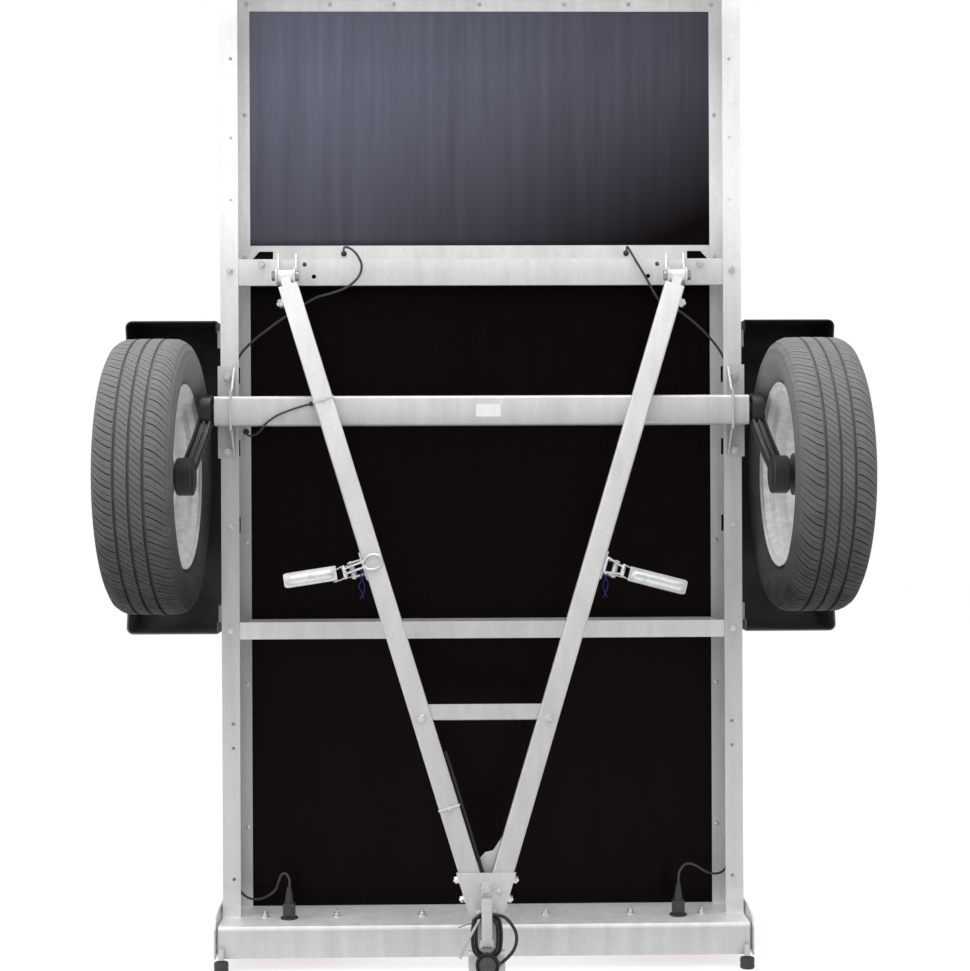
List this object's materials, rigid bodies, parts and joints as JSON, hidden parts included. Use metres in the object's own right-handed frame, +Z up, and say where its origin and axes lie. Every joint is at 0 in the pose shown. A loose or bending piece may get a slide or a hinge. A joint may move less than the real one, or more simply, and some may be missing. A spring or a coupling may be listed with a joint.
{
  "type": "folding drawbar utility trailer",
  "caption": "Light galvanised box trailer stored upright on rubber feet, with a folding V drawbar, rubber-sprung axle, plastic fenders, tailgate and coiled plug cable.",
  "frame": {"origin": "on the ground below the middle of the outline, trailer stored upright on its rear end", "axes": "+Z up, from the rear end to the front end; the underside faces -Y and the cargo box opens towards +Y; X across the trailer"},
  "size_m": [1.476, 0.7997, 2.04],
  "materials": {
    "galvanised": "hot-dip galvanised sheet",
    "galvanised_tube": "hot-dip galvanised tube",
    "zinc_fasteners": "bright zinc plated",
    "film_plywood": "black film-faced birch plywood",
    "fender_plastic": "black moulded plastic",
    "bracket_plastic": "grey",
    "black_rubber": "black rubber",
    "lamp_lens": "red lens",
    "plug_grey": "dark grey",
    "cable_grey": "grey cable sheath",
    "cable_black": "black cable sheath",
    "plug_black": "black",
    "tie_white": "natural nylon",
    "arm_black": "black coated casting",
    "hub_steel": "cast hub",
    "rim_silver": "silver wheel paint",
    "tyre_rubber": "tyre rubber"
  },
  "bodies": {
    "chassis": {"left_rail": "galvanised", "right_rail": "galvanised", "front_beam": "galvanised", "drawbar_crossmember": "galvanised", "rear_crossmember": "galvanised", "light_beam": "galvanised", "beam_end_plates": "galvanised", "floor_panel": "film_plywood", "left_side_wall": "galvanised", "right_side_wall": "galvanised", "front_wall": "galvanised", "axle_tube": "galvanised_tube", "axle_brackets": "galvanised", "left_fender": "fender_plastic", "right_fender": "fender_plastic", "fender_brackets": "bracket_plastic", "rubber_feet": "black_rubber", "tail_lamps": "lamp_lens", "lamp_plugs": "plug_grey", "left_lamp_lead": "cable_grey", "right_lamp_lead": "cable_grey", "left_front_lead": "cable_grey", "right_front_lead": "cable_grey", "axle_lead": "cable_grey", "lead_clips": "black_rubber", "floor_screws": "zinc_fasteners", "frame_bolts": "zinc_fasteners", "hinge_lugs": "galvanised", "hinge_pins": "zinc_fasteners", "latch_hooks": "zinc_fasteners"},
    "drawbar": {"left_drawbar_arm": "galvanised_tube", "right_drawbar_arm": "galvanised_tube", "drawbar_brace": "galvanised_tube", "apex_bracket": "galvanised", "coupling_head": "galvanised", "drawbar_bolts": "zinc_fasteners", "latch_bases": "zinc_fasteners", "plug_coil": "cable_black", "plug_lead": "cable_black", "trailer_plug": "plug_black", "harness_lead": "cable_black", "cable_ties": "tie_white"},
    "coupling_handle": {"coupling_handle": "zinc_fasteners"},
    "left_latch_handle": {"left_latch_handle": "zinc_fasteners"},
    "right_latch_handle": {"right_latch_handle": "zinc_fasteners"},
    "left_latch_bail": {"left_latch_bail": "zinc_fasteners"},
    "right_latch_bail": {"right_latch_bail": "zinc_fasteners"},
    "left_swing_arm": {"left_swing_arm": "arm_black"},
    "right_swing_arm": {"right_swing_arm": "arm_black"},
    "left_wheel": {"left_hub": "hub_steel", "left_rim": "rim_silver", "left_tyre": "tyre_rubber", "left_wheel_bolts": "zinc_fasteners"},
    "right_wheel": {"right_hub": "hub_steel", "right_rim": "rim_silver", "right_tyre": "tyre_rubber", "right_wheel_bolts": "zinc_fasteners"},
    "tailgate": {"tailgate": "galvanised"},
    "left_gate_latch": {"left_gate_latch": "zinc_fasteners"},
    "right_gate_latch": {"right_gate_latch": "zinc_fasteners"}
  },
  "joints": [
    {"name": "drawbar_fold", "type": "hinge", "parent": "chassis", "child": "drawbar", "pos_m": [0, -0.045, 1.405], "axis": [-1, 0, 0], "range_deg": [0, 170]},
    {"name": "coupling_handle_lift", "type": "hinge", "parent": "drawbar", "child": "coupling_handle", "pos_m": [0, -0.30801, 0.10875], "axis": [1, 0, 0], "range_deg": [0, 50]},
    {"name": "left_latch_swing", "type": "hinge", "parent": "drawbar", "child": "left_latch_handle", "pos_m": [-0.25992, -0.14617, 0.81002], "axis": [0.2947, -0.1602, -0.9421], "range_deg": [0, 80]},
    {"name": "left_bail_lift", "type": "hinge", "parent": "left_latch_handle", "child": "left_latch_bail", "pos_m": [-0.27521, -0.15583, 0.80688], "axis": [0.2947, -0.1602, -0.9421], "range_deg": [0, 60]},
    {"name": "left_suspension", "type": "hinge", "parent": "chassis", "child": "left_swing_arm", "pos_m": [0, -0.034, 1.13], "axis": [1, 0, 0], "range_deg": [0, 20], "stiffness_Nm_per_rad": 1200, "springref_deg": -4.01},
    {"name": "left_wheel_spin", "type": "hinge", "parent": "left_swing_arm", "child": "left_wheel", "pos_m": [-0.651, -0.125, 0.997], "axis": [0.9996, -0.0297, 0], "continuous": true},
    {"name": "right_latch_swing", "type": "hinge", "parent": "drawbar", "child": "right_latch_handle", "pos_m": [0.25992, -0.14617, 0.81002], "axis": [0.2947, 0.1602, 0.9421], "range_deg": [0, 80]},
    {"name": "right_bail_lift", "type": "hinge", "parent": "right_latch_handle", "child": "right_latch_bail", "pos_m": [0.27521, -0.15583, 0.80688], "axis": [0.2947, 0.1602, 0.9421], "range_deg": [0, 60]},
    {"name": "right_suspension", "type": "hinge", "parent": "chassis", "child": "right_swing_arm", "pos_m": [0, -0.034, 1.13], "axis": [1, 0, 0], "range_deg": [0, 20], "stiffness_Nm_per_rad": 1200, "springref_deg": -4.01},
    {"name": "right_wheel_spin", "type": "hinge", "parent": "right_swing_arm", "child": "right_wheel", "pos_m": [0.651, -0.125, 0.997], "axis": [0.9996, 0.0297, 0], "continuous": true},
    {"name": "tailgate_drop", "type": "hinge", "parent": "chassis", "child": "tailgate", "pos_m": [0, 0.099, 0.056], "axis": [-1, 0, 0], "range_deg": [0, 90]},
    {"name": "left_gate_latch_turn", "type": "hinge", "parent": "tailgate", "child": "left_gate_latch", "pos_m": [-0.455, 0.33, 0.06], "axis": [0, 0, 1], "range_deg": [0, 90]},
    {"name": "right_gate_latch_turn", "type": "hinge", "parent": "tailgate", "child": "right_gate_latch", "pos_m": [0.455, 0.33, 0.06], "axis": [0, 0, -1], "range_deg": [0, 90]}
  ]
}
